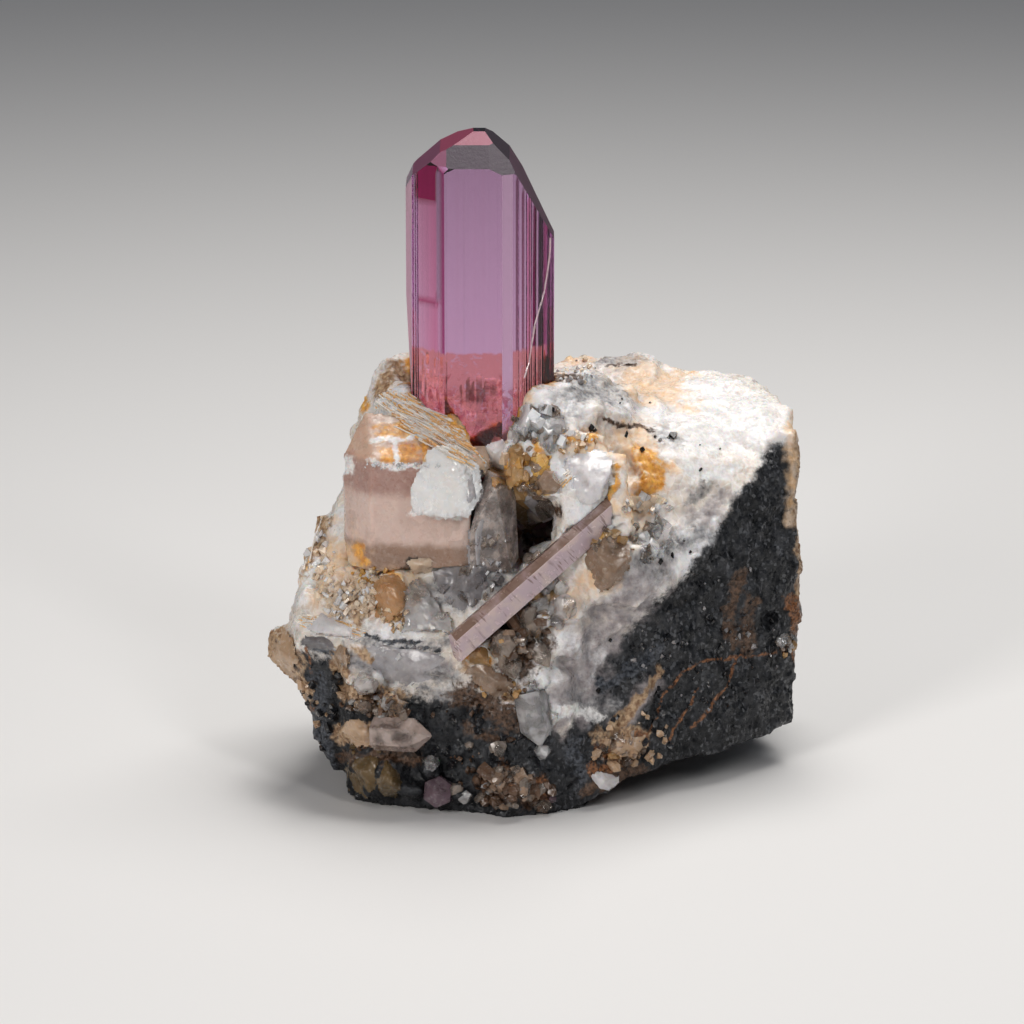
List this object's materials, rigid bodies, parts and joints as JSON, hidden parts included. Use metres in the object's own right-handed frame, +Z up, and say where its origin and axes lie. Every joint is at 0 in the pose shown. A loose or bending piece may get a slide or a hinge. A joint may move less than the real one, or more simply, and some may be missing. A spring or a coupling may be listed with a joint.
{
  "type": "topaz crystal on matrix",
  "caption": "Clear pink prismatic topaz crystal standing on a loose block of white calcite and grey limestone, with smaller calcite, quartz and topaz crystals.",
  "frame": {"origin": "on the flat base, directly under the long axis of the upright topaz crystal", "axes": "+Z up along the topaz crystal, -Y towards the side with the slanting crystal, +X towards the massive end of the rock"},
  "size_m": [0.0474, 0.0358, 0.0574],
  "materials": {
    "matrix": "rough, white calcite with orange stains that passes into sugary dark grey limestone",
    "pink_topaz": "clear pink crystal with glassy faces, striated along its length",
    "pale_topaz": "clear pale lilac-brown crystal with cross striations",
    "cream_calcite": "pearly translucent cream with amber patches on top",
    "clear_calcite": "clear to milky cleavage faces with white broken edges",
    "smoky_calcite": "grey-brown, translucent, glassy",
    "quartz": "clear to faintly brown, glassy"
  },
  "bodies": {
    "root": {"matrix_rock": "matrix", "topaz_crystal": "pink_topaz", "small_topaz_crystal": "pale_topaz", "calcite_crystal": "cream_calcite", "clear_calcite_crystal": "clear_calcite", "smoky_calcite_crystal": "smoky_calcite", "quartz_crystal_large": "quartz", "quartz_crystal_lilac": "quartz", "quartz_shard": "quartz"}
  },
  "joints": []
}
